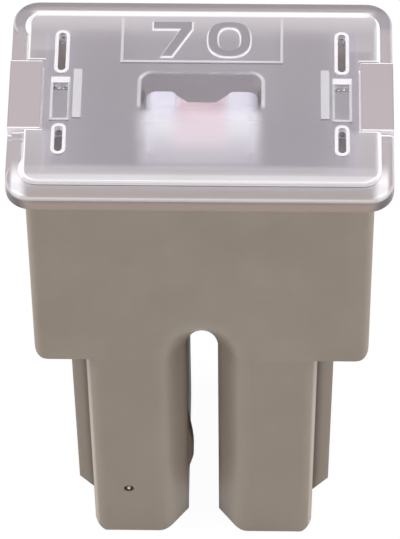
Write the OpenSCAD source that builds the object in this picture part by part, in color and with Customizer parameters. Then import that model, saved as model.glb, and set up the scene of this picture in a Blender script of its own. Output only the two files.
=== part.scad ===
// Plug-in cartridge fuse: a moulded two-leg housing, a clear clip-on cover,
// a folded one-piece fuse element with female contacts, and two leaf springs.
// X runs across the legs, Y from front (-) to back (+), Z up from the foot ends.

/* [Housing body] */
// Width of the body across X
body_w = 18.4; // [17.6:0.1:21]
// Depth of the body across Y
body_d = 11.6; // [10.4:0.1:13.6]
// Height of the body from the shoulder to the rim
body_h = 15.2; // [13:0.1:18]
// Wall of the body round the open top
body_wall = 0.95; // [0.7:0.05:1.05]
// Radius of the body's upright corners
body_corner_r = 0.5; // [0.2:0.05:0.9]
// Radius of the shoulder corners seen from the front
shoulder_r = 0.8; // [0.3:0.05:1.2]
// Height of the grip ear at each end
ear_h = 0.9; // [0.6:0.05:1.6]

/* [Legs] */
// Height of the legs from the foot ends to the shoulder
leg_h = 17.2; // [15:0.1:20]
// Width of one leg across X at the shoulder
leg_w = 5.54; // [5.4:0.01:6.4]
// Draft of the leg's outer side over its height
leg_draft = 0.14; // [0:0.02:0.2]
// Radius of the leg's outer upright corners
leg_corner_r = 0.85; // [0.3:0.05:1]
// Radius of the foot corner seen from the front
foot_r = 1.1; // [0.4:0.05:1.2]
// Radius of the foot's front and back edges
foot_edge_r = 0.2; // [0.1:0.05:0.5]
// Wall between a contact pocket and the leg's front and back
leg_wall = 1.1; // [0.8:0.05:1.3]
// Thickness of the foot under the contacts
foot_t = 1.5; // [1.2:0.1:2.5]
// Width of the slot between the legs
slot_w = 1.76; // [1.2:0.02:1.9]
// Thickness of the web over the slot's arch
web_t = 1.8; // [1.4:0.05:2.4]
// Drop of the arch's foot below the shoulders
arch_drop = 0.9; // [0.5:0.05:1.2]
// Height of the arch over its foot
arch_h = 1.36; // [0.9:0.02:1.5]
// Width of the bevel at each side of the slot
bevel_w = 1.35; // [0.6:0.05:1.5]
// Depth of that bevel into the leg
bevel_d = 1.7; // [0.9:0.05:1.9]
// Radius that blends the bevel into the leg's face
bevel_soft_r = 1.4; // [0.3:0.1:1.5]
// Stretch of the bevel upwards round the arch
bevel_stretch = 1.85; // [1:0.05:1.9]

/* [Leg details] */
// Projection of the rib outside each leg
rib_w = 0.97; // [0.5:0.01:1.2]
// Depth of the rib across Y
rib_d = 6.6; // [4:0.1:8]
// Gap between the rib's lower end and the ground
rib_lift = 0.9; // [0.5:0.1:4]
// Height of the chamfer at the rib's lower end
rib_chamfer_h = 1.2; // [0.6:0.05:2]
// Projection of the detent into the slot
detent_h = 0.32; // [0.15:0.01:0.4]
// Depth of the detent behind the bevel
detent_l = 1.3; // [1:0.1:2.5]
// Height of the detent's peak
detent_z = 5; // [3:0.1:12]
// Length of the detent's slope above its peak
detent_up = 4.2; // [1.5:0.1:4.5]
// Length of its slope below the peak
detent_down = 1.4; // [1:0.1:2.5]
// Depth of the detent's root in the leg
detent_root = 0.4; // [0.3:0.05:0.6]
// Diameter of the gate mark on one leg
gate_dia = 0.56; // [0.3:0.02:0.9]
// Depth of the gate mark
gate_depth = 0.2; // [0.05:0.01:0.3]
// Distance of the gate mark from the leg's outer side
gate_inset = 2.15; // [1.4:0.05:2.8]
// Height of the gate mark
gate_z = 4.5; // [2:0.1:10]

/* [Cover] */
// Thickness of the cover's top plate
plate_t = 0.75; // [0.6:0.05:1.2]
// Thickness of the skirt round the body
skirt_t = 0.86; // [0.6:0.02:1.2]
// Drop of the skirt below the rim
skirt_h = 0.5; // [0.3:0.05:0.8]
// Step from the ledge up to the raised top
top_step = 0.3; // [0.3:0.01:0.4]
// Reach of the raised top past the skirt's inner face at each end
top_grow = 0.2; // [0:0.02:0.3]
// Radius added at the corners of the raised top
top_corner_add = 0.4; // [0.2:0.05:0.6]
// Radius of the cover's upright corners
cover_corner_r = 1.4; // [1.2:0.05:2]
// Rounding of the ledge's outer edge
ledge_edge_r = 0.25; // [0.1:0.01:0.35]
// Rounding of the raised top's edge
top_edge_r = 0.26; // [0.1:0.01:0.28]
// Length of the notch at each end along Y
notch_l = 4.8; // [3.6:0.1:6]
// Reach of the notch in from the body's side
notch_in = 0.85; // [0.3:0.05:0.9]

/* [Cover details] */
// Distance of the slots from the cavity's end wall
probe_inset_x = 0.8; // [0.75:0.05:1.1]
// Width of a slot
probe_w = 0.42; // [0.3:0.02:0.6]
// Length of a slot at the back
probe_l = 2.6; // [1.6:0.1:2.8]
// Distance of its end from the cavity's back wall
probe_inset_y = 0.7; // [0.4:0.05:0.9]
// Length of a slot at the front
probe_front_l = 1.7; // [1.2:0.1:2.2]
// Distance of its end from the cavity's front wall
probe_front_inset = 0.9; // [0.4:0.05:1.2]
// Width of the rim round a slot
probe_rim = 0.18; // [0.1:0.02:0.25]
// Length of the pocket over a snap arm
pocket_l = 2.4; // [1.8:0.1:2.5]
// Shift of the pocket towards the front
pocket_shift = 0.5; // [0:0.05:0.6]
// Width of the raised line round the pocket
pocket_line = 0.13; // [0.08:0.01:0.2]
// Width of the raised bar at the pocket's back end
pocket_bar = 0.4; // [0.2:0.05:0.5]
// Depth of that pocket
pocket_depth = 0.5; // [0.2:0.05:0.55]
// Width of the raised pad beside the slots
pad_w = 0.45; // [0.3:0.05:0.6]
// Gap between the pad and the slots' rims
pad_gap = 0.28; // [0.22:0.02:0.5]
// Overlength of the pad beyond the snap arm
pad_over = 0.45; // [0.2:0.05:0.6]
// Height of the rims, pads and frame over the top
relief_h = 0.12; // [0.06:0.01:0.2]
// Width of the rating frame
frame_w = 8.65; // [6:0.05:10]
// Depth of the rating frame
frame_d = 3.1; // [2:0.05:3.2]
// Distance of the rating frame from the back edge of the raised top
frame_inset = 0.67; // [0.4:0.01:0.9]
// Width of the frame's line
frame_line = 0.14; // [0.08:0.01:0.25]
// Width of the viewing window
window_w = 6.8; // [5:0.1:8]
// Gap between the viewing window and the rating frame
window_gap = 0.3; // [0.2:0.05:1]
// Distance of the window from the cavity's front wall
window_inset = 1.1; // [0.8:0.05:1.6]
// Radius of the window's corners
window_r = 0.8; // [0.4:0.05:1.2]
// Depth of the window's recess under the plate
window_depth = 0.2; // [0.1:0.02:0.3]
// Thickness of a snap arm
arm_t = 0.7; // [0.5:0.05:0.75]
// Width of a snap arm along Y
arm_w = 2.4; // [1.6:0.1:2.6]
// Length of a snap arm below the rim
arm_l = 4; // [3:0.1:6]
// Gap between a snap arm and the end wall
arm_gap = 0.38; // [0.3:0.02:0.5]
// Catch of the snap arm's hook
hook_catch = 0.3; // [0.15:0.02:0.4]
// Height of the hook
hook_h = 1; // [0.7:0.05:1.5]

/* [Fuse element] */
// Sheet thickness of the element
strip_t = 0.5; // [0.4:0.05:0.65]
// Outer span of the bridge across X
bridge_span = 6; // [5.6:0.1:6]
// Width of the bridge along Y
bridge_w = 4.2; // [3.4:0.1:6]
// Drop from the rim to the bridge's upper face
bridge_drop = 1.75; // [1:0.05:3]
// Width of the fusing neck along Y
neck_w = 2.8; // [1.2:0.02:3.2]
// Length of the neck along X
neck_l = 1.5; // [0.6:0.1:1.8]
// Length of the notch at the strip's edge
neck_flare_l = 3.2; // [2:0.1:3.6]
// Length of the thinned middle along X
thin_l = 2.8; // [1.6:0.1:3.4]
// Depth of the thinning
thin_depth = 0.05; // [0.05:0.01:0.3]
// Inner radius of each bend
bend_r = 0.4; // [0.2:0.05:0.6]
// Inner radius of the bends at the bridge's ends
crown_r = 0.1; // [0.1:0.05:0.4]

/* [Contacts] */
// Thickness of the mating tab
tab_t = 0.8; // [0.6:0.05:1]
// Height of the contact channel
contact_h = 10; // [7:0.1:12]
// Room behind the tab for the spring
spring_room = 1; // [0.8:0.05:1.1]
// Width of each folded lip along Y
lip_w = 2.3; // [1.2:0.1:3]
// Height of the taper from contact to strip
taper_h = 2.4; // [1.5:0.1:3]
// Gap between the leaf spring and the contact's upper end
spring_short = 0.6; // [0.3:0.05:1]
// Sheet thickness of the leaf spring
spring_t = 0.3; // [0.2:0.02:0.4]
// Pinch of the relaxed spring on the tab
spring_pinch = 0.1; // [0:0.02:0.2]

/* [Clearances] */
// Gap between the cover's skirt and the body
cover_gap = 0.12; // [0.05:0.01:0.2]
// Gap between the ear and the cover's notch
ear_gap = 0.1; // [0.05:0.01:0.2]
// Gap between the contacts and their pockets
pocket_gap = 0.1; // [0.05:0.01:0.15]
// Gap between the tab and the channel's sides
tab_gap = 0.1; // [0.05:0.01:0.15]
// Gap round the tab in the foot
entry_gap = 0.25; // [0.15:0.01:0.4]
// Gap between the hook and its recess
hook_gap = 0.08; // [0.04:0.01:0.15]
// Gap between the spring's ends and the lips
spring_gap = 0.03; // [0.01:0.01:0.1]

/* [Hidden] */
$fn = 64;
// Reach of a cut past the face that it opens
eps = 0.5;
// Depth that joined shapes share
join = 0.1;

rim_z = leg_h + body_h;
arch_z = leg_h - arch_drop;
slot_r = slot_w / 2;
leg_x = slot_r + leg_w;
foot_x = leg_x - leg_draft;
rib_x = leg_x + rib_w;
cavity_w = body_w - 2 * body_wall;
cavity_d = body_d - 2 * body_wall;
cavity_floor_z = arch_z + arch_h + web_t;

cover_w = body_w + 2 * (cover_gap + skirt_t);
cover_d = body_d + 2 * (cover_gap + skirt_t);
top_z = rim_z + plate_t;
ledge_z = top_z - top_step;
skirt_z = rim_z - skirt_h;
skirt_in_w = body_w + 2 * cover_gap;
skirt_in_d = body_d + 2 * cover_gap;
top_w = skirt_in_w + 2 * top_grow;
top_d = skirt_in_d;
top_corner_r = body_corner_r + cover_gap + top_corner_add;
notch_x = body_w / 2 - notch_in;
ear_top_z = top_z;
arm_x = cavity_w / 2 - arm_gap;
probe_x = cavity_w / 2 - probe_inset_x;
probe_y = cavity_d / 2 - probe_inset_y - probe_l / 2;
probe_front_y = probe_front_inset + probe_front_l / 2 - cavity_d / 2;
pocket_w = probe_w + 2 * probe_rim;
frame_y = top_d / 2 - frame_inset - frame_d;
window_back = frame_y - window_gap;
window_front = cavity_d / 2 - window_inset;

bridge_z = rim_z - bridge_drop;
strip_out_x = bridge_span / 2;
strip_in_x = strip_out_x - strip_t;
tab_x = strip_out_x + tab_t / 2;
tab_w = body_d - 2 * (leg_wall + pocket_gap + strip_t + tab_gap);
lip_in_x = strip_out_x + tab_t + spring_room;
lip_out_x = lip_in_x + strip_t;
channel_in_y = tab_w / 2 + tab_gap;
channel_out_y = channel_in_y + strip_t;
contact_top_z = foot_t + contact_h;
pocket_in_x = strip_in_x - pocket_gap;
pocket_out_x = lip_out_x + pocket_gap;
pocket_y = channel_out_y + pocket_gap;

spring_y = channel_in_y - bend_r;
spring_l = contact_h - spring_short;
spring_crest_x = strip_out_x + tab_t - spring_pinch;
spring_bow = lip_in_x - spring_gap - spring_crest_x;
spring_half = spring_l / 2;
spring_arc_r = (pow(spring_half, 2) + pow(spring_bow, 2) - pow(spring_t, 2)) / (2 * (spring_bow - spring_t));

housing_colour = [0.56, 0.51, 0.46];
cover_colour = [0.84, 0.83, 0.88, 0.5];
tin_colour = [0.86, 0.86, 0.88];
spring_colour = [0.62, 0.63, 0.65];

// Rectangle with round corners, centred
module round_rect(w, d, r) {
    square([w - 2 * r, d], center = true);
    square([w, d - 2 * r], center = true);
    for (sx = [-1, 1])
        for (sy = [-1, 1])
            translate([sx * (w / 2 - r), sy * (d / 2 - r)])
                circle(r);
}

// Slab with round upright corners and a rounded upper edge
module soft_slab(w, d, h, r, f) {
    linear_extrude(h - f)
        round_rect(w, d, r);
    linear_extrude(h)
        round_rect(w - 2 * f, d - 2 * f, r - f);
    translate([0, 0, h - f]) {
        for (s = [-1, 1]) {
            translate([0, s * (d / 2 - f), 0])
                rotate([0, 90, 0])
                    cylinder(h = w - 2 * r, r = f, center = true);
            translate([s * (w / 2 - f), 0, 0])
                rotate([90, 0, 0])
                    cylinder(h = d - 2 * r, r = f, center = true);
        }
        for (sx = [-1, 1])
            for (sy = [-1, 1])
                translate([sx * (w / 2 - r), sy * (d / 2 - r), 0])
                    rotate_extrude()
                        intersection() {
                            translate([r - f, 0])
                                circle(f);
                            translate([0, -f])
                                square([r, 2 * f]);
                        }
    }
}

// Front outline drawn in X and Z, carried through a depth centred on Y
module through_y(d) {
    rotate([90, 0, 0])
        linear_extrude(d, center = true)
            children();
}

// Extrudes an outline in Y and Z along X, both ways from the middle
module through_x(d) {
    rotate([90, 0, 90])
        linear_extrude(d, center = true)
            children();
}

// Copies on both ends, mirrored across the YZ plane
module both_ends() {
    children();
    mirror([1, 0, 0])
        children();
}

// Copies at front and back, mirrored across the XZ plane
module both_faces() {
    children();
    mirror([0, 1, 0])
        children();
}

// Body block with round lower corners
module body_block() {
    intersection() {
        through_y(body_d)
            translate([0, leg_h]) {
                translate([-body_w / 2, shoulder_r])
                    square([body_w, body_h - shoulder_r]);
                translate([shoulder_r - body_w / 2, 0])
                    square([body_w - 2 * shoulder_r, body_h]);
                for (s = [-1, 1])
                    translate([s * (body_w / 2 - shoulder_r), shoulder_r])
                        circle(shoulder_r);
            }
        linear_extrude(rim_z)
            round_rect(body_w, body_d, body_corner_r);
    }
}

// Both legs as one drafted block, before the slot is cut
module leg_block() {
    intersection() {
        through_y(body_d)
            both_ends() {
                polygon([
                    [0, 0],
                    [foot_x - foot_r, 0],
                    [foot_x, foot_r],
                    [leg_x, leg_h],
                    [leg_x, leg_h + shoulder_r],
                    [0, leg_h + shoulder_r]
                ]);
                translate([foot_x - foot_r, foot_r])
                    circle(foot_r);
            }
        linear_extrude(rim_z)
            round_rect(2 * leg_x, body_d, leg_corner_r);
        through_x(2 * leg_x)
            union() {
                translate([-body_d / 2, foot_edge_r])
                    square([body_d, rim_z]);
                translate([foot_edge_r - body_d / 2, 0])
                    square([body_d - 2 * foot_edge_r, rim_z]);
                for (y = [foot_edge_r - body_d / 2, body_d / 2 - foot_edge_r])
                    translate([y, foot_edge_r])
                        circle(foot_edge_r);
            }
    }
}

// Ribs outside the legs, chamfered at the lower end
module ribs() {
    through_y(rib_d)
        both_ends()
            polygon([
                [foot_x - foot_r, rib_lift],
                [foot_x + join, rib_lift],
                [rib_x - leg_draft, rib_lift + rib_chamfer_h],
                [rib_x, leg_h + shoulder_r],
                [foot_x - foot_r, leg_h + shoulder_r]
            ]);
}

// Ears that fill the cover's end notches
module ears() {
    through_y(notch_l - 2 * ear_gap)
        both_ends()
            polygon([
                [cavity_w / 2 + join, rim_z - ear_h - skirt_t],
                [body_w / 2, rim_z - ear_h],
                [cover_w / 2, rim_z - ear_h],
                [cover_w / 2, ear_top_z],
                [notch_x + ear_gap, ear_top_z],
                [notch_x + ear_gap, rim_z],
                [cavity_w / 2 + join, rim_z]
            ]);
}

// Arched outline in X and Z, open at the foot
function arch_points(w, h) = concat(
    [[-w, -eps]],
    [for (i = [0:24]) [-w * cos(i * 7.5), arch_z + h * sin(i * 7.5)]],
    [[w, -eps]]
);

// Widening mouth of the slot on the front face: arched rings from the face inwards
module slot_mouth() {
    turn = atan2(bevel_d, bevel_w);
    run = bevel_w + bevel_soft_r * tan(turn / 2);
    // Each ring is its growth over the slot and its depth behind the face
    rings = concat(
        [[run, -join]],
        [for (i = [0:5]) [
            run - bevel_soft_r * sin(i * turn / 5),
            bevel_soft_r * (1 - cos(i * turn / 5))
        ]],
        [[-join, bevel_d * (1 + join / bevel_w)]]
    );
    points = [
        for (r = rings)
            for (p = arch_points(slot_r + r[0], arch_h + r[0] * bevel_stretch))
                [p[0], r[1] - body_d / 2, p[1]]
    ];
    per_ring = len(points) / len(rings);
    last = len(points) - 1;
    polyhedron(points, concat(
        [[for (j = [0:per_ring - 1]) j]],
        [[for (j = [0:per_ring - 1]) last - j]],
        [for (i = [0:len(rings) - 2]) for (j = [0:per_ring - 1])
            [i * per_ring + j, (i + 1) * per_ring + j, (i + 1) * per_ring + (j + 1) % per_ring]],
        [for (i = [0:len(rings) - 2]) for (j = [0:per_ring - 1])
            [i * per_ring + j, (i + 1) * per_ring + (j + 1) % per_ring, i * per_ring + (j + 1) % per_ring]]
    ));
}

// Slot between the legs, with its mouth rounded over on both faces
module leg_slot() {
    through_y(body_d + 2 * eps)
        polygon(arch_points(slot_r, arch_h));
    for (turn = [0, 180])
        rotate([0, 0, turn])
            slot_mouth();
}

// Detent on the slot side of one leg: a swell that carries on the bevel's slope
module detent() {
    slope = bevel_d / bevel_w;
    sink = join / 4;
    reach = detent_h + join;
    translate([-slot_r, bevel_d - body_d / 2, 0])
        intersection() {
            linear_extrude(leg_h)
                polygon([
                    [-detent_root, join],
                    [0, join],
                    [reach, join + reach * slope],
                    [reach, detent_l],
                    [-detent_root, detent_l]
                ]);
            through_y(2 * body_d)
                polygon(concat(
                    [[-detent_root, detent_z - detent_down]],
                    [for (i = [-8:8]) [
                        (detent_h + sink) * (1 + cos(i * 22.5)) / 2 - sink,
                        detent_z + i / 8 * (i < 0 ? detent_down : detent_up)
                    ]],
                    [[-detent_root, detent_z + detent_up]]
                ));
        }
}

// Round gate mark with a small nub, on the front of one leg
module gate_mark() {
    translate([gate_inset - leg_x, -body_d / 2, gate_z])
        rotate([-90, 0, 0])
            difference() {
                translate([0, 0, -eps])
                    cylinder(h = gate_depth + eps, d = gate_dia);
                cylinder(h = gate_depth + eps, d = gate_dia / 3);
            }
}

// Pocket for one contact, open to the cavity above
module contact_pocket() {
    translate([pocket_in_x, -pocket_y, foot_t])
        cube([pocket_out_x - pocket_in_x, 2 * pocket_y, cavity_floor_z - foot_t + eps]);
}

// Entry for the mating tab, with a lead-in at the foot
module tab_entry() {
    half = tab_t / 2 + entry_gap;
    lead = foot_t / 2;
    through_y(tab_w + 2 * entry_gap)
        translate([tab_x, 0])
            polygon([
                [-half - lead - join, -join],
                [half + lead + join, -join],
                [half, lead],
                [half, foot_t + eps],
                [-half, foot_t + eps],
                [-half, lead]
            ]);
}

// Recess in the end wall that the cover's hook snaps into
module hook_recess() {
    translate([cavity_w / 2 - eps, -arm_w / 2 - hook_gap, rim_z - arm_l - hook_gap])
        cube([hook_catch + hook_gap + eps, arm_w + 2 * hook_gap, hook_h + 2 * hook_gap]);
}

module housing() {
    color(housing_colour) {
        difference() {
            union() {
                body_block();
                leg_block();
                ribs();
                ears();
            }
            translate([0, 0, cavity_floor_z])
                linear_extrude(rim_z - cavity_floor_z + eps)
                    square([cavity_w, cavity_d], center = true);
            leg_slot();
            both_ends() {
                contact_pocket();
                tab_entry();
                hook_recess();
            }
            gate_mark();
        }
        detent();
    }
}

// Outlines of the two slots at one end, with round ends, grown by a margin
module probe_outlines(grow) {
    translate([probe_x, probe_y])
        round_rect(probe_w + 2 * grow, probe_l + 2 * grow, probe_w * 0.48 + grow);
    translate([probe_x, probe_front_y])
        round_rect(probe_w + 2 * grow, probe_front_l + 2 * grow, probe_w * 0.48 + grow);
}

// Snap arm that hangs into the cavity, with its hook facing the end wall
module snap_arm() {
    through_y(arm_w)
        polygon([
            [arm_x - arm_t, rim_z + join],
            [arm_x, rim_z + join],
            [arm_x, rim_z - arm_l + hook_h],
            [cavity_w / 2 + hook_catch, rim_z - arm_l + hook_h],
            [cavity_w / 2 + hook_catch, rim_z - arm_l + hook_h * 0.7],
            [arm_x, rim_z - arm_l],
            [arm_x - arm_t, rim_z - arm_l]
        ]);
}

// Rims, pads and rating frame that stand up from the cover's top
module cover_relief() {
    translate([0, 0, top_z - join])
        linear_extrude(relief_h + join) {
            both_ends() {
                probe_outlines(probe_rim);
                translate([probe_x - pocket_w / 2 - pocket_line, -pocket_shift - pocket_l / 2 - pocket_line])
                    square([pocket_w + 2 * pocket_line, pocket_l + pocket_line + pocket_bar]);
                translate([probe_x - pocket_w / 2 - pad_gap - pad_w / 2, 0])
                    square([pad_w, arm_w + 2 * pad_over], center = true);
                translate([frame_w / 2 - frame_line, frame_y])
                    square([frame_line, frame_d]);
            }
            translate([-frame_w / 2, frame_y])
                square([frame_w, frame_line]);
        }
}

module cover() {
    color(cover_colour)
        difference() {
            union() {
                difference() {
                    union() {
                        translate([0, 0, skirt_z])
                            soft_slab(cover_w, cover_d, ledge_z - skirt_z, cover_corner_r, ledge_edge_r);
                        translate([0, 0, rim_z])
                            soft_slab(top_w, top_d, plate_t, top_corner_r, top_edge_r);
                    }
                    translate([0, 0, skirt_z - eps])
                        linear_extrude(skirt_h + eps)
                            round_rect(skirt_in_w, skirt_in_d, body_corner_r + cover_gap);
                }
                cover_relief();
                both_ends()
                    snap_arm();
            }
            both_ends() {
                translate([notch_x, -notch_l / 2, skirt_z - eps])
                    cube([cover_w, notch_l, plate_t + skirt_h + 2 * eps]);
                translate([0, 0, rim_z - eps])
                    linear_extrude(plate_t + relief_h + 2 * eps)
                        probe_outlines(0);
                translate([probe_x, -pocket_shift, top_z - pocket_depth])
                    linear_extrude(plate_t)
                        square([pocket_w, pocket_l], center = true);
            }
            translate([0, (window_back - window_front) / 2, rim_z - eps])
                linear_extrude(window_depth + eps)
                    round_rect(window_w, window_back + window_front, window_r);
        }
}

// Bridge and its two down-turned sides, with round bends
module element_bow() {
    crown_out_r = crown_r + strip_t;
    low_z = contact_top_z + taper_h - join;
    through_y(bridge_w)
        difference() {
            union() {
                translate([-strip_out_x, low_z])
                    square([bridge_span, bridge_z - crown_out_r - low_z]);
                translate([crown_out_r - strip_out_x, low_z])
                    square([bridge_span - 2 * crown_out_r, bridge_z - low_z]);
                for (s = [-1, 1])
                    translate([s * (strip_out_x - crown_out_r), bridge_z - crown_out_r])
                        circle(crown_out_r);
            }
            translate([-strip_in_x, low_z - eps])
                square([2 * strip_in_x, bridge_z - crown_out_r - low_z + eps]);
            translate([crown_r - strip_in_x, low_z - eps])
                square([2 * (strip_in_x - crown_r), bridge_z - strip_t - low_z + eps]);
            for (s = [-1, 1])
                translate([s * (strip_in_x - crown_r), bridge_z - crown_out_r])
                    circle(crown_r);
        }
}

// Notch that leaves the fusing neck, at the back edge
module neck_notch() {
    translate([0, 0, bridge_z - strip_t - eps])
        linear_extrude(strip_t + 2 * eps)
            polygon([
                [-neck_l / 2, neck_w / 2],
                [neck_l / 2, neck_w / 2],
                [neck_flare_l / 2, bridge_w / 2],
                [neck_flare_l / 2, bridge_w / 2 + eps],
                [-neck_flare_l / 2, bridge_w / 2 + eps],
                [-neck_flare_l / 2, bridge_w / 2]
            ]);
}

// Plan of one contact: a flat back, two sides and two lips folded over the spring
module channel_plan() {
    depth = lip_out_x - strip_in_x;
    bend_out_r = bend_r + strip_t;
    translate([(strip_in_x + lip_out_x) / 2, 0])
        difference() {
            round_rect(depth, 2 * channel_out_y, bend_out_r);
            round_rect(depth - 2 * strip_t, 2 * channel_in_y, bend_r);
            translate([depth / 2 - strip_t - join, lip_w - channel_out_y])
                square([strip_t + eps, 2 * (channel_out_y - lip_w)]);
        }
}

// Contact in one leg, with the taper that joins it to the strip
module contact() {
    translate([0, 0, foot_t])
        linear_extrude(contact_h)
            channel_plan();
    translate([strip_in_x, 0, 0])
        rotate([90, 0, 90])
            linear_extrude(strip_t)
                polygon([
                    [bend_r - channel_in_y, contact_top_z - join],
                    [channel_in_y - bend_r, contact_top_z - join],
                    [channel_in_y - bend_r, contact_top_z],
                    [bridge_w / 2, contact_top_z + taper_h],
                    [-bridge_w / 2, contact_top_z + taper_h],
                    [bend_r - channel_in_y, contact_top_z]
                ]);
}

module fuse_element() {
    color(tin_colour)
        difference() {
            union() {
                element_bow();
                both_ends()
                    contact();
            }
            both_faces()
                neck_notch();
            translate([-thin_l / 2, -bridge_w, bridge_z - thin_depth])
                cube([thin_l, 2 * bridge_w, eps]);
        }
}

// Bowed leaf that presses the tab against the contact's back
module spring_leaf() {
    translate([0, 0, foot_t + spring_l / 2])
        through_y(2 * spring_y)
            intersection() {
                translate([spring_crest_x + spring_arc_r, 0])
                    difference() {
                        circle(spring_arc_r);
                        circle(spring_arc_r - spring_t);
                    }
                translate([spring_crest_x - eps, -spring_l / 2])
                    square([spring_room + spring_pinch + eps, spring_l]);
            }
}

module spring_clip_left() {
    color(spring_colour)
        mirror([1, 0, 0])
            spring_leaf();
}

module spring_clip_right() {
    color(spring_colour)
        spring_leaf();
}

housing();
cover();
fuse_element();
spring_clip_left();
spring_clip_right();
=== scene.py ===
"""Looks for a plug-in cartridge fuse: tan moulded housing, clear cover, plated element.

Places in the materials are in millimetres in the part's frame: x right, y back, z up.
"""
import math

import bmesh
import bpy
from mathutils import Matrix, Vector


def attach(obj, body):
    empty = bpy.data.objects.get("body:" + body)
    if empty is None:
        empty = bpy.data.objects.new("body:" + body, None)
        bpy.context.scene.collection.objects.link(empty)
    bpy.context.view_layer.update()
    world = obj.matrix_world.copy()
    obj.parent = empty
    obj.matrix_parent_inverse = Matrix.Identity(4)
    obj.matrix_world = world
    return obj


MM = 0.001

# Heights on the cover, mm
PLATE_TOP = 33.15
POCKET_FLOOR = 32.65

# Middle of the gate mark on the front of the left leg, mm
GATE_X, GATE_Z = -4.27, 4.5

# Top of the slot between the legs, where its arch begins, mm
ARCH_Z = 16.3

# Outer face of a leg: half width at the foot, and how much it grows up to the leg's top, mm
LEG_HALF_W, LEG_GROWTH, LEG_H = 6.28, 0.14, 17.2

# The viewing window's masks run out of sight at the front, mm
WINDOW_FRONT = -6.0

# A clear cover still shows this much of its surface
LEAST_VEIL = 0.03

# Figures in the rating frame, mm
FIGURE_SINK = 0.02
FIGURE_RISE = 0.1
FIGURE_SLOPE = 0.1
FIGURE_ROUND = 0.05
FIGURE_ROUND_DROP = 0.02

# Camera: focal length and long side of the photograph in pixels, sensor in mm
FOCAL_PX = 4100.0
PHOTO_LONG_PX = 539.0
SENSOR = 36.0

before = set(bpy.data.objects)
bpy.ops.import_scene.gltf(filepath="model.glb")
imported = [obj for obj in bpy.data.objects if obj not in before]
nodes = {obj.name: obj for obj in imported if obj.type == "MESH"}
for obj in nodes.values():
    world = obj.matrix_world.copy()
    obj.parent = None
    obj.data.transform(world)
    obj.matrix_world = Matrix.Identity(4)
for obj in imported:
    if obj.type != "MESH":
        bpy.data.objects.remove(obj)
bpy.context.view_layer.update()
scene = bpy.context.scene
scene.view_settings.view_transform = "Standard"


# Node helpers

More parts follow.
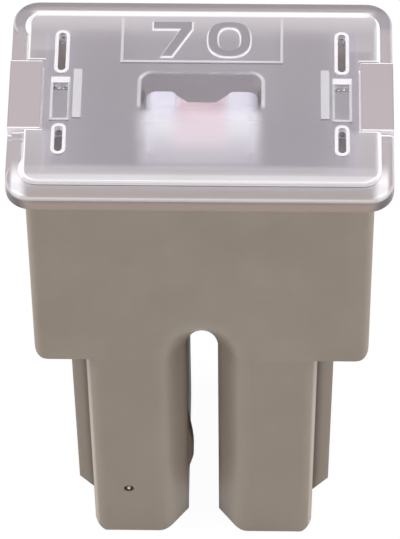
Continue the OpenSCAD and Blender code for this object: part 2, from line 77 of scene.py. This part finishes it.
class Net:
    """Short forms for the nodes of one material. A mask goes from 0 to 1."""

    def __init__(self, name):
        self.mat = bpy.data.materials.new(name)
        self.mat.use_nodes = True
        self.nodes = self.mat.node_tree.nodes
        self.nodes.clear()
        self.coord = self.new("TexCoord").outputs["Object"]
        self.out = self.new("OutputMaterial")

    def new(self, kind):
        return self.nodes.new("ShaderNode" + kind)

    def link(self, a, b):
        self.mat.node_tree.links.new(a, b)

    def feed(self, socket, value):
        if isinstance(value, bpy.types.NodeSocket):
            self.link(value, socket)
        else:
            socket.default_value = value

    def math(self, op, a, b=0.0, c=0.0):
        n = self.new("Math")
        n.operation = op
        for i, v in enumerate((a, b, c)):
            self.feed(n.inputs[i], v)
        return n.outputs[0]

    def size(self, value):
        return self.math("ABSOLUTE", value)

    def less(self, a, b):
        return self.math("SUBTRACT", a, b)

    def past(self, value, start):
        """How far a value is beyond a place in mm."""
        return self.less(value, start * MM)

    def length(self, a, b):
        return self.math("SQRT", self.math("ADD", self.times(a, a), self.times(b, b)))

    def times(self, first, *others):
        """Product, so a mask where all of them hold."""
        for other in others:
            first = self.math("MULTIPLY", first, other)
        return first

    def most(self, first, *others):
        """Largest, so a mask where any of them holds."""
        for other in others:
            first = self.math("MAXIMUM", first, other)
        return first

    def invert(self, mask):
        return self.less(1.0, mask)

    def xyz(self, vector=None):
        n = self.new("SeparateXYZ")
        self.link(self.coord if vector is None else vector, n.inputs[0])
        return n.outputs

    def noise(self, scale, detail=3.0, rough=0.5, vector=None):
        n = self.new("TexNoise")
        n.inputs["Scale"].default_value = scale
        n.inputs["Detail"].default_value = detail
        n.inputs["Roughness"].default_value = rough
        self.link(self.coord if vector is None else vector, n.inputs["Vector"])
        return n.outputs["Fac"]

    def stretch(self, sx, sy, sz):
        n = self.new("Mapping")
        n.inputs["Scale"].default_value = (sx, sy, sz)
        self.link(self.coord, n.inputs["Vector"])
        return n.outputs[0]

    def ramp(self, fac, stops):
        n = self.new("ValToRGB")
        while len(n.color_ramp.elements) < len(stops):
            n.color_ramp.elements.new(0.5)
        for e, (pos, col) in zip(n.color_ramp.elements, stops):
            e.position = pos
            e.color = (*col, 1.0)
        self.link(fac, n.inputs[0])
        return n.outputs[0]

    def remap(self, value, a, b, lo=0.0, hi=1.0, smooth=True):
        n = self.new("MapRange")
        n.interpolation_type = "SMOOTHSTEP" if smooth else "LINEAR"
        n.clamp = True
        self.feed(n.inputs[0], value)
        for i, v in enumerate((a, b, lo, hi)):
            n.inputs[i + 1].default_value = v
        return n.outputs[0]

    def slope(self, value, a, b, lo, hi):
        """From lo at a mm to hi at b mm."""
        return self.remap(value, a * MM, b * MM, lo, hi)

    def rise(self, value, a, b, high=1.0):
        return self.slope(value, a, b, 0.0, high)

    def fall(self, value, a, b, high=1.0):
        return self.slope(value, a, b, high, 0.0)

    def band(self, value, a, b, c, d):
        """Rises from a to b mm and falls from c to d mm."""
        return self.times(self.rise(value, a, b), self.fall(value, c, d))

    def level(self, z, height):
        """1 on flat faces at one height."""
        return self.band(z, height - 0.05, height - 0.02, height + 0.02, height + 0.05)

    def rounded(self, x, y, half_x, low_y, high_y, radius, soft):
        """1 inside a rounded rectangle seen from above, with a soft border, in mm."""
        half_y = (high_y - low_y) / 2.0
        mid_y = (high_y + low_y) / 2.0
        dx = self.past(self.size(x), half_x - radius)
        dy = self.past(self.size(self.past(y, mid_y)), half_y - radius)
        gone = self.length(self.most(dx, 0.0), self.most(dy, 0.0))
        return self.fall(gone, radius - soft, radius + soft)

    def mix(self, fac, a, b):
        n = self.new("Mix")
        n.data_type = "RGBA"
        self.feed(n.inputs[0], fac)
        for socket, v in ((n.inputs[6], a), (n.inputs[7], b)):
            if isinstance(v, tuple):
                socket.default_value = (*v, 1.0)
            else:
                self.link(v, socket)
        return n.outputs[2]

    def tint(self, tone, colour, *masks):
        """Lay a colour over a tone where the masks and weights hold."""
        return self.mix(self.times(*masks), tone, colour)

    def bump(self, height, strength, distance, normal=None):
        n = self.new("Bump")
        n.inputs["Strength"].default_value = strength
        n.inputs["Distance"].default_value = distance
        self.link(height, n.inputs["Height"])
        if normal is not None:
            self.link(normal, n.inputs["Normal"])
        return n.outputs[0]

    def soft_edge(self, radius):
        n = self.new("Bevel")
        n.samples = 6
        n.inputs["Radius"].default_value = radius
        return n.outputs[0]

    def principled(self, **sockets):
        n = self.new("BsdfPrincipled")
        for key, v in sockets.items():
            socket = n.inputs[key.replace("_", " ")]
            if isinstance(v, tuple) and len(v) == 3 and socket.type == "RGBA":
                v = (*v, 1.0)
            self.feed(socket, v)
        return n.outputs[0]

    def flat(self, kind, colour):
        """A shader that has only a colour to set."""
        n = self.new(kind)
        n.inputs[0].default_value = (*colour, 1.0)
        return n.outputs[0]

    def blend(self, fac, a, b):
        n = self.new("MixShader")
        self.feed(n.inputs[0], fac)
        self.link(a, n.inputs[1])
        self.link(b, n.inputs[2])
        return n.outputs[0]

    def surface(self, shader):
        self.link(shader, self.out.inputs[0])
        return self.mat


# Materials

def housing_material():
    n = Net("housing_plastic")
    x, y, z = n.xyz()
    ax, ay = n.size(x), n.size(y)
    fine = n.noise(9000.0, 2.0, 0.6)
    cloud = n.noise(220.0, 3.0, 0.55)
    flow = n.noise(500.0, 3.0, 0.6, n.stretch(1.0, 1.0, 0.18))
    pale_tan = (0.30, 0.25, 0.205)
    tone = n.ramp(cloud, [(0.3, (0.192, 0.154, 0.119)), (0.7, (0.226, 0.186, 0.146))])
    tone = n.tint(tone, (0.168, 0.133, 0.101), n.remap(flow, 0.35, 0.75, 0.0, 0.22))

    # The gate mark is a pale nub, with a dark ring of painted shade round it
    away = n.length(n.past(x, GATE_X), n.past(z, GATE_Z))
    front = n.fall(y, -5.5, -5.45)
    tone = n.tint(tone, (0.06, 0.05, 0.04), front, n.fall(away, 0.27, 0.33))
    tone = n.tint(tone, (0.80, 0.76, 0.70), front, n.fall(away, 0.10, 0.15))

    # Painted shade darkens the inside of the slot between the legs, which is less glossy too; painted
    # light makes its bevels a little paler
    arch = n.most(n.times(n.past(z, ARCH_Z), 0.65), 0.0)
    spread = n.length(x, arch)
    tone = n.tint(tone, pale_tan, n.band(spread, 1.0, 1.1, 1.7, 2.4), 0.5)
    inside = n.times(n.fall(spread, 0.89, 0.98), n.slope(ay, 3.4, 3.9, 1.0, 0.35))
    tone = n.tint(tone, (0.07, 0.055, 0.05), inside, 0.6)

    # The legs' outer corners get a painted highlight, and the legs are redder than the body
    low = n.fall(z, LEG_H - 0.2, LEG_H)
    out = n.math("MULTIPLY_ADD", z, LEG_GROWTH / LEG_H, LEG_HALF_W * MM)
    short = n.less(out, ax)
    corner_highlight = n.times(n.band(short, 0.02, 0.06, 0.12, 0.28), low, n.rise(ay, 4.9, 5.1))
    tone = n.tint(tone, (0.62, 0.54, 0.48), corner_highlight, 0.46)
    tone = n.tint(tone, (0.19, 0.146, 0.112), low, 0.35)

    # Painted light makes the ribs on the legs' outer faces paler, and painted shade darkens the nook next
    # to the leg
    tone = n.tint(tone, pale_tan, n.fall(short, -0.22, -0.12), low, 0.5)
    nook = n.times(n.rise(short, -0.55, -0.04), low, n.fall(ay, 3.32, 3.6))
    tone = n.tint(tone, (0.06, 0.05, 0.042), nook, 0.6)

    # Painted light stands for light through the cover on the cavity's ends and the wall behind the window
    ends = n.times(n.band(ax, 6.6, 7.0, 8.3, 8.34), n.rise(z, 18.6, 22.0), n.fall(ay, 4.86, 4.9))
    pale = n.mix(n.fall(z, 22.5, 27.0), (0.42, 0.38, 0.39), (0.85, 0.80, 0.82))
    tone = n.tint(tone, pale, ends, 0.75)
    back = n.times(n.fall(ax, 3.4, 4.2), n.rise(z, 23.0, 25.0), n.band(y, 4.5, 4.6, 4.86, 4.9))
    tone = n.tint(tone, (0.42, 0.37, 0.36), back, 0.6)

    # The ears' tops are greyer; painted light makes their ends and the slits beside them pale
    ear = n.rise(ax, 8.3, 8.4)
    tone = n.tint(tone, (0.236, 0.208, 0.222), n.rise(z, 32.84, 32.9), ear, 0.9)
    ear_end_light = n.times(n.band(ay, 2.24, 2.28, 2.33, 2.36), n.rise(z, 31.3, 31.6), ear)
    tone = n.tint(tone, (0.86, 0.81, 0.84), ear_end_light, 0.95)
    slit = n.times(n.band(ax, 8.31, 8.33, 8.455, 8.475), n.fall(ay, 2.4, 2.44),
                   n.rise(z, 31.9, 32.0))
    tone = n.tint(tone, (0.46, 0.42, 0.45), slit, 0.9)

    return n.surface(n.principled(
        Base_Color=tone, Roughness=n.remap(cloud, 0.2, 0.8, 0.36, 0.50),
        Normal=n.bump(fine, 0.12, 0.02 * MM, n.soft_edge(0.16 * MM)),
        Specular_IOR_Level=n.remap(inside, 0.0, 1.0, 0.4, 0.05)))


def cover_material():
    """Clear plastic (glass) under a milky surface (milk). The veil says how much of the surface shows."""
    n = Net("cover_clear")
    x, y, z = n.xyz()
    ax, ay = n.size(x), n.size(y)
    grain = n.noise(5000.0, 2.0, 0.6)
    cloud = n.noise(260.0, 3.0, 0.5)

    # The top is hazy, and clears over the back of the viewing window. The pockets are hazy too
    top = n.level(z, PLATE_TOP)
    window = n.rounded(x, y, 3.38, WINDOW_FRONT, 1.67, 0.8, 0.05)
    inner = n.rounded(x, y, 3.18, WINDOW_FRONT, 1.49, 0.64, 0.05)
    core = n.rounded(x, y, 2.97, WINDOW_FRONT, 1.4, 0.6, 0.06)
    clearing = n.times(window, n.rise(y, -3.0, 0.4, 0.36))
    haze = n.times(top, n.invert(clearing), n.remap(cloud, 0.2, 0.8, 0.9, 1.0))
    pocket = n.times(n.level(z, POCKET_FLOOR), n.rise(ax, 6.9, 7.0), n.fall(ay, 2.0, 2.1))
    haze = n.most(haze, n.times(pocket, 0.8))

    # The window's outline is a pale bracket of painted highlight, with painted shadow in the gap inside
    # its two sides
    bracket = n.times(n.less(window, inner), n.rise(y, -1.0, -0.65),
                      n.slope(ax, 2.3, 3.2, 0.25, 1.0))
    gap = n.times(n.less(inner, core), n.fall(y, 0.0, 0.7), n.rise(y, -0.95, -0.35), top)

    # Painted light: the top is paler towards the back and the sides, and the front wall shows as two pale
    # steps
    glow = n.most(n.rise(y, 3.5, 5.75, 0.22), n.rise(ax, 8.75, 9.4, 0.12),
                  n.fall(y, -4.98, -4.62, 0.14), n.fall(y, -5.50, -5.20, 0.33))
    behind = n.times(n.rise(y, 5.25, 5.65, 0.62), n.fall(ax, 8.7, 9.3))
    beside = n.rise(ax, 9.18, 9.4, 0.5)
    left = n.times(n.invert(n.rounded(x, y, 9.17, -5.8, 5.7, 0.8, 0.04)),
                   n.fall(x, -8.6, -8.3, 0.55))
    glow = n.most(glow, behind, beside, left)

    # Painted light from the element spills below the window and beside the element
    spill = n.times(n.fall(ax, 2.2, 3.6), n.band(y, -5.2, -4.2, -2.2, -0.2))
    spill_glow = n.times(spill, n.slope(y, -4.2, -1.5, 0.045, 0.25))
    flank = n.times(n.fall(n.size(n.past(x, -0.06)), 2.8, 3.62),
                    n.rise(n.size(n.past(x, 0.05)), 2.3, 2.95),
                    n.slope(y, -4.6, -1.2, 0.06, 0.34), n.fall(y, -1.3, -0.85))

    # Painted light makes the plate's ends a little paler, in front of the slots and behind them
    end = n.times(n.rise(ax, 7.5, 8.0), n.most(n.fall(y, -2.6, -2.3), n.rise(y, 2.9, 3.2)),
                  n.slope(ay, 2.6, 4.8, 0.10, 0.055))
    glow = n.times(n.most(glow, spill_glow, flank, end, n.times(bracket, 0.55)), top)

    # The lower rim round the top is greyer, with a painted highlight along its edge
    outside = n.most(n.rise(ax, 9.35, 9.45), n.rise(ay, 5.75, 5.85),
                     n.rise(n.math("ADD", ax, ay), 14.5, 14.6))
    rim = n.times(n.fall(z, 32.88, 32.93), outside)
    edge = n.times(n.band(z, 32.60, 32.66, 32.78, 32.83), outside)

    # Raised lines get a painted highlight, less so round the rating, on the pads and beside the pockets
    raised = n.rise(z, 33.19, 33.22)
    rating = n.times(n.fall(ax, 4.55, 4.65), n.rise(y, 1.85, 1.95))
    haze = n.most(haze, n.times(raised, rating, 0.95))
    raised = n.times(raised, n.remap(rating, 0.0, 1.0, 1.0, 0.42))
    pad = n.band(ax, 6.2, 6.3, 6.97, 7.02)
    line = n.times(n.rise(ax, 6.8, 6.9), n.band(y, -2.0, -1.95, 0.68, 0.74))

    # The figures' slopes get a painted highlight, and painted shade towards the back. Painted shade makes
    # their tops grey
    figure = n.times(n.fall(ax, 3.0, 3.1), n.rise(y, 2.3, 2.4), n.rise(z, 33.151, 33.155))
    haze = n.most(haze, n.times(figure, 0.95))
    _, facing_back, facing_up = n.xyz(n.new("NewGeometry").outputs["Normal"])
    steep = n.times(figure, n.remap(facing_up, 0.75, 0.97, 1.0, 0.0))
    catch = n.times(steep, n.remap(facing_back, 0.1, 0.5, 1.0, 0.0))
    back_slope_shade = n.times(steep, n.remap(facing_back, 0.3, 0.6, 0.0, 1.0))
    raised = n.most(n.times(raised, n.invert(figure)), n.times(catch, 0.62))
    raised = n.times(raised, n.remap(pad, 0.0, 1.0, 0.75, 0.62),
                     n.remap(line, 0.0, 1.0, 1.0, 0.8))

    # The step round the plate gets painted light too, with the rim behind it and the rim's front corners
    step = n.band(z, 32.90, 32.94, 33.125, 33.145)
    near = n.times(n.fall(y, 5.96, 6.14, 0.6), n.rise(y, 5.7, 5.8), n.fall(ax, 8.7, 9.3), rim)
    inset = n.times(n.band(ax, 8.9, 9.5, 9.75, 9.95), n.fall(y, -5.5, -4.2),
                    n.rise(z, 32.5, 32.7), rim)

    # At the front the step's foot gets painted light at its two turns, with a faint line of painted light
    # along it
    foot = n.times(n.band(z, 32.858, 32.87, 32.98, 33.04), n.fall(y, -5.5, -5.3))
    turn = n.times(foot, n.rise(ax, 8.6, 9.0))
    foot_light_line = n.times(n.rise(y, -6.02, -5.92, 0.12), n.fall(y, -5.8, -5.7), rim)

    # The end walls of the notches get painted light too
    wall = n.times(n.fall(n.size(n.past(ay, 2.4)), 0.03, 0.07), n.rise(ax, 8.3, 8.36))
    lit = n.most(raised, n.times(step, 0.7), glow, n.times(edge, 0.3), near,
                 n.times(inset, 0.5), n.times(turn, 0.4), foot_light_line, n.times(wall, 0.85))

    # Haze blurs what is behind the cover, except at the window's back
    normal = n.bump(grain, 0.05, 0.01 * MM)
    sharp = n.times(inner, n.rise(y, -1.9, -0.5, 0.85))
    blur = n.times(n.remap(haze, 0.0, 0.5, 0.02, 0.28, False), n.invert(sharp))
    glass = n.principled(Base_Color=(0.94, 0.938, 0.965), Roughness=blur, IOR=1.49,
                         Transmission_Weight=1.0, Normal=normal)

    # Tones of the surface: rim, skirt and painted shade at its corners, painted light, the element's
    # painted spill and painted shadow in the window, figures' painted shade
    grey = n.mix(n.fall(y, -6.5, -6.05), (0.208, 0.192, 0.206), (0.192, 0.172, 0.167))
    grey = n.tint(grey, (0.175, 0.16, 0.175), n.rise(y, 6.0, 6.2))
    tone = n.mix(rim, (0.225, 0.209, 0.236), grey)
    skirt = n.times(outside, n.fall(z, 32.52, 32.60))
    corner = n.times(n.rise(ax, 8.9, 9.5), skirt, n.rise(ay, 5.0, 5.5))
    # Painted light from the element, tinted, below the window
    spill_tint = n.times(spill, top, n.fall(ax, 0.9, 1.8, 0.9), n.slope(y, -4.2, -2.4, 0.1, 1.0))
    tone = n.tint(tone, (0.24, 0.18, 0.152), skirt)
    tone = n.tint(tone, (0.07, 0.06, 0.065), corner)
    tone = n.tint(tone, (0.86, 0.85, 0.89), lit)
    tone = n.tint(tone, (0.36, 0.302, 0.338), spill_tint)
    tone = n.tint(tone, (0.09, 0.08, 0.09), gap)
    tone = n.tint(tone, (0.13, 0.12, 0.128), n.less(figure, steep), 0.95)
    tone = n.tint(tone, (0.045, 0.04, 0.042), back_slope_shade)
    milk = n.principled(Base_Color=tone, Roughness=0.35, Normal=normal)

    below = n.times(n.fall(y, -4.2, -2.6), n.remap(spill, 0.0, 0.1), top,
                    n.remap(spill, 0.0, 1.0, 0.72, 0.94))
    veil = n.most(
        n.times(haze, 0.72), n.times(lit, 0.75), n.times(rim, 0.72), n.times(spill, top, 0.97),
        below, n.times(corner, 0.92), n.times(step, n.rise(ax, 9.2, 9.3, 0.92)),
        n.times(foot, 0.88), n.times(gap, 0.75), n.times(figure, 0.86), LEAST_VEIL)

    # The cover's own shadow is light
    shadow = n.new("LightPath").outputs["Is Shadow Ray"]
    through = n.flat("BsdfTransparent", (0.93, 0.93, 0.94))
    return n.surface(n.blend(shadow, n.blend(veil, glass, milk), through))


def element_material():
    """Tin-plated strip, bare copper in the middle of the bridge."""
    n = Net("plated_strip")
    x, _, z = n.xyz()
    wander = n.math("MULTIPLY_ADD", n.noise(900.0), 0.5 * MM, -0.25 * MM)
    bare = n.times(n.fall(n.math("ADD", n.size(x), wander), 1.0, 1.6), n.rise(z, 29.6, 29.8))
    streak = n.noise(1500.0, 4.0, 0.65, n.stretch(0.12, 1.0, 1.0))
    cloud = n.noise(400.0)
    tin = n.ramp(cloud, [(0.3, (0.57, 0.56, 0.62)), (0.7, (0.64, 0.63, 0.69))])
    copper = n.ramp(streak, [(0.32, (0.40, 0.25, 0.26)), (0.68, (0.60, 0.435, 0.465))])
    return n.surface(n.principled(
        Base_Color=n.mix(bare, tin, copper), Metallic=0.6,
        Roughness=n.remap(streak, 0.2, 0.8, 0.40, 0.56),
        Normal=n.bump(streak, 0.12, 0.02 * MM, n.soft_edge(0.08 * MM))))


def spring_material():
    n = Net("spring_steel")
    streak = n.noise(2200.0, 4.0, 0.6, n.stretch(1.0, 1.0, 0.08))
    colour = n.ramp(streak, [(0.3, (0.44, 0.45, 0.47)), (0.7, (0.58, 0.59, 0.61))])
    return n.surface(n.principled(
        Base_Color=colour, Metallic=1.0, Roughness=n.remap(streak, 0.2, 0.8, 0.22, 0.4),
        Normal=n.bump(streak, 0.1, 0.01 * MM)))


def floor_material():
    """White where it is seen, with a trace of shadow, and plain paint for the light it gives back."""
    n = Net("floor_white")
    path = n.new("LightPath").outputs
    seen = n.most(path["Is Camera Ray"], path["Is Glossy Ray"], path["Is Transmission Ray"])
    glow = n.flat("Emission", (1.0, 1.0, 1.0))
    paint = n.flat("BsdfDiffuse", (0.8, 0.8, 0.8))
    return n.surface(n.blend(n.times(seen, 0.97), paint, glow))


def dress(name, mat):
    node = nodes[name]
    node.data.materials.clear()
    node.data.materials.append(mat)


dress("housing", housing_material())
clear = cover_material()
dress("cover", clear)
dress("fuse_element", element_material())
steel = spring_material()
dress("spring_clip_left", steel)
dress("spring_clip_right", steel)


# Raised figures with sloped sides in the rating frame

def ring_points(cx, cy, half_w, half_h, power, count=96):
    """Closed loop between an ellipse and a rectangle, counterclockwise."""
    loop = []
    for i in range(count):
        t = 2.0 * math.pi * i / count
        c, q = math.cos(t), math.sin(t)
        loop.append((cx + half_w * math.copysign(abs(c) ** power, c),
                     cy + half_h * math.copysign(abs(q) ** power, q)))
    return loop


def shrink(loop, inset):
    """Move a loop towards its left side."""
    moved = []
    for i in range(len(loop)):
        here, ahead, behind = (Vector(loop[k % len(loop)]) for k in (i, i + 1, i - 1))
        a, b = (ahead - here).normalized(), (here - behind).normalized()
        out = Vector((-a.y - b.y, a.x + b.x)) / (1.0 + a.dot(b))
        moved.append(here + out * inset)
    return moved


def raised_figure(bm, loops, low, high):
    """Closed figure with a softened edge. The loops have the figure on their left."""
    levels = ((0.0, low), (FIGURE_SLOPE, high - FIGURE_ROUND_DROP),
              (FIGURE_SLOPE + FIGURE_ROUND, high))
    foot, crown = [], []
    for loop in loops:
        rings = []
        for inset, z in levels:
            rings.append([bm.verts.new((p[0] * MM, p[1] * MM, z * MM))
                          for p in shrink(loop, inset)])
        count = len(loop)
        for a, b in zip(rings, rings[1:]):
            for i in range(count):
                k = (i + 1) % count
                bm.faces.new((a[i], a[k], b[k], b[i]))
        for ring, ends in ((rings[0], foot), (rings[-1], crown)):
            ends.extend(bm.edges.get((ring[i], ring[(i + 1) % count])) for i in range(count))
    for edges in (foot, crown):
        bmesh.ops.triangle_fill(bm, use_beauty=True, edges=edges)


def rating_digits():
    bm = bmesh.new()
    seven = [(-2.7, 5.1), (-0.45, 5.1), (-0.45, 4.48), (-1.55, 2.52), (-2.3, 2.52),
             (-1.3, 4.42), (-2.7, 4.42)]
    outer = ring_points(1.45, 3.81, 1.22, 1.29, 0.8)
    inner = ring_points(1.45, 3.81, 0.54, 0.72, 0.8)
    for loops in ([seven[::-1]], [outer, inner[::-1]]):
        raised_figure(bm, loops, PLATE_TOP - FIGURE_SINK, PLATE_TOP + FIGURE_RISE)
    bmesh.ops.recalc_face_normals(bm, faces=bm.faces)
    mesh = bpy.data.meshes.new("rating_digits")
    bm.to_mesh(mesh)
    bm.free()
    piece = bpy.data.objects.new("rating_digits", mesh)
    scene.collection.objects.link(piece)
    mesh.materials.append(clear)
    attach(piece, "root")


rating_digits()


# Floor and light

bpy.ops.mesh.primitive_plane_add(size=4.0, location=(0.0, 0.0, 0.0))
floor = bpy.context.object
floor.name = "floor"
floor.data.materials.append(floor_material())

world = bpy.data.worlds.new("studio")
scene.world = world
world.use_nodes = True
sky = world.node_tree.nodes["Background"]
sky.inputs[0].default_value = (1.0, 1.0, 1.0, 1.0)
sky.inputs[1].default_value = 0.33


def area_light(name, place, aim, size, watts):
    data = bpy.data.lights.new(name, "AREA")
    data.shape = "RECTANGLE"
    data.size, data.size_y = size
    data.energy = watts
    lamp = bpy.data.objects.new(name, data)
    scene.collection.objects.link(lamp)
    lamp.location = place
    lamp.rotation_euler = (Vector(aim) - Vector(place)).to_track_quat("-Z", "Y").to_euler()


area_light("key_left", (-0.14, 0.0, 0.285), (0.0, 0.0, 0.03), (0.14, 0.14), 0.87)
area_light("key_right", (0.14, 0.0, 0.285), (0.0, 0.0, 0.03), (0.14, 0.14), 0.82)
area_light("fill", (0.03, -0.28, 0.16), (0.0, 0.0, 0.015), (0.2, 0.2), 0.16)
area_light("strip_left", (-0.23, -0.03, 0.09), (0.0, 0.0, 0.012), (0.05, 0.16), 0.2)
area_light("strip_right", (0.23, -0.03, 0.09), (0.0, 0.0, 0.012), (0.05, 0.16), 0.19)


# Camera, fitted to the photograph's edges

camera_data = bpy.data.cameras.new("camera")
camera = bpy.data.objects.new("camera", camera_data)
scene.collection.objects.link(camera)
scene.camera = camera
camera_data.sensor_width = SENSOR
camera_data.lens = FOCAL_PX * SENSOR / PHOTO_LONG_PX
right = Vector((0.99985, 0.01578, -0.00726))
down = Vector((0.00824, -0.79863, -0.60177))
ahead = right.cross(down).normalized()
place = Vector((3.337, -137.856, 200.821)) * MM
camera.matrix_world = Matrix((
    (right.x, -down.x, -ahead.x, place.x),
    (right.y, -down.y, -ahead.y, place.y),
    (right.z, -down.z, -ahead.z, place.z),
    (0.0, 0.0, 0.0, 1.0)))
camera_data.clip_start = 0.01
